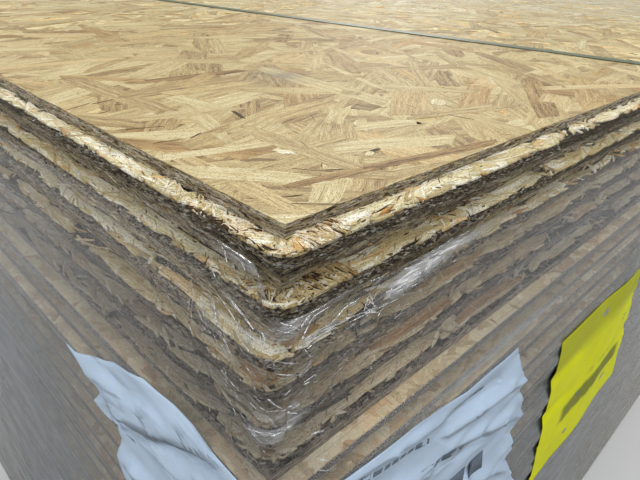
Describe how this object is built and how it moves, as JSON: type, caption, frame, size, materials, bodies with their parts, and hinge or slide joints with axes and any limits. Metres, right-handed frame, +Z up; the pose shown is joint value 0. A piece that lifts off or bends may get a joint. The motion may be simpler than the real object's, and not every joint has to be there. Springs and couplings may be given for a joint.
{
  "type": "stack of osb panels",
  "caption": "Strapped, film-wrapped pack of large OSB floor panels with tongue-and-groove edges, stacked flat, with a white and a yellow label on its sides.",
  "frame": {"origin": "centre of the pack's base, on the level of the straps' undersides", "axes": "+Z up; X along the panels, with the tongued ends at -X; Y across them, with the tongued long sides at -Y"},
  "size_m": [2.5146, 1.2664, 0.7216],
  "materials": {
    "osb": "raw pressed strands, sawn and milled edges",
    "strap": "embossed polyester strapping, dark green",
    "film": "clear stretch film, several layers",
    "white_paper": "matt printed sheet",
    "yellow_label": "matt self-adhesive sheet"
  },
  "bodies": {
    "root": {"corner_label": "white_paper", "panel_01": "osb", "panel_02": "osb", "panel_03": "osb", "panel_04": "osb", "panel_05": "osb", "panel_06": "osb", "panel_07": "osb", "panel_08": "osb", "panel_09": "osb", "panel_10": "osb", "panel_11": "osb", "panel_12": "osb", "panel_13": "osb", "panel_14": "osb", "panel_15": "osb", "panel_16": "osb", "panel_17": "osb", "panel_18": "osb", "panel_19": "osb", "panel_20": "osb", "panel_21": "osb", "panel_22": "osb", "panel_23": "osb", "panel_24": "osb", "panel_25": "osb", "panel_26": "osb", "panel_27": "osb", "panel_28": "osb", "panel_29": "osb", "panel_30": "osb", "panel_31": "osb", "panel_32": "osb", "panel_33": "osb", "panel_34": "osb", "panel_35": "osb", "panel_36": "osb", "panel_37": "osb", "panel_38": "osb", "panel_39": "osb", "panel_40": "osb", "side_label": "yellow_label", "strap_far": "strap", "strap_near": "strap", "stretch_film": "film"}
  },
  "joints": []
}
